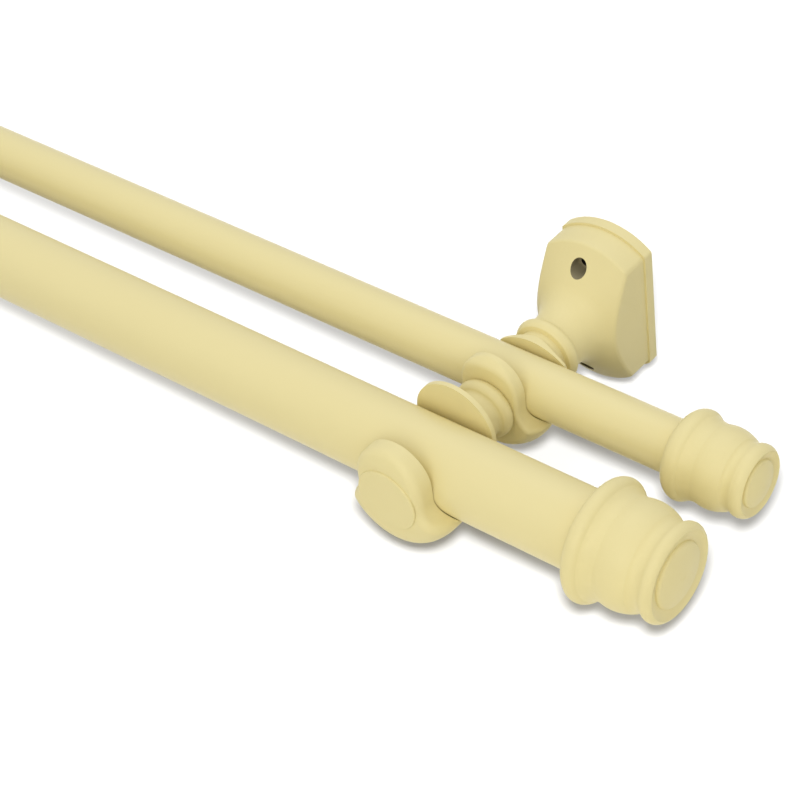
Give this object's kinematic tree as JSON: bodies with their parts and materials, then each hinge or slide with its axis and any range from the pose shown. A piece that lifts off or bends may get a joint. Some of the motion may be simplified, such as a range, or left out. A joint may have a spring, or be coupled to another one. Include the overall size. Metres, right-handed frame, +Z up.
{
  "type": "double curtain pole",
  "caption": "Wall-mounted double curtain pole: a thick front pole and a thin rear pole with turned end finials, cradled on stepped brackets with arched wall roses.",
  "frame": {"origin": "on the wall plane, midway between the two wall roses, at the height of the brackets' arms, midway between the upper and the lower wall screws", "axes": "+X along the poles, -Y out of the wall into the room, +Z up"},
  "size_m": [1.265, 0.1267, 0.0596],
  "materials": {
    "coated_tube": "cream satin coating",
    "moulding": "cream satin moulding",
    "screw_steel": "bright zinc plate"
  },
  "bodies": {
    "root": {"front_pole": "coated_tube", "rear_pole": "coated_tube", "wall_rose_left": "moulding", "rear_holder_left": "moulding", "front_holder_left": "moulding", "front_cap_left": "moulding", "rose_screw_left": "screw_steel", "extension_screw_left": "screw_steel", "rear_lock_screw_left": "screw_steel", "front_lock_screw_left": "screw_steel", "finial_front_left": "moulding", "finial_rear_left": "moulding", "wall_rose_right": "moulding", "rear_holder_right": "moulding", "front_holder_right": "moulding", "front_cap_right": "moulding", "rose_screw_right": "screw_steel", "extension_screw_right": "screw_steel", "rear_lock_screw_right": "screw_steel", "front_lock_screw_right": "screw_steel", "finial_front_right": "moulding", "finial_rear_right": "moulding"}
  },
  "joints": []
}
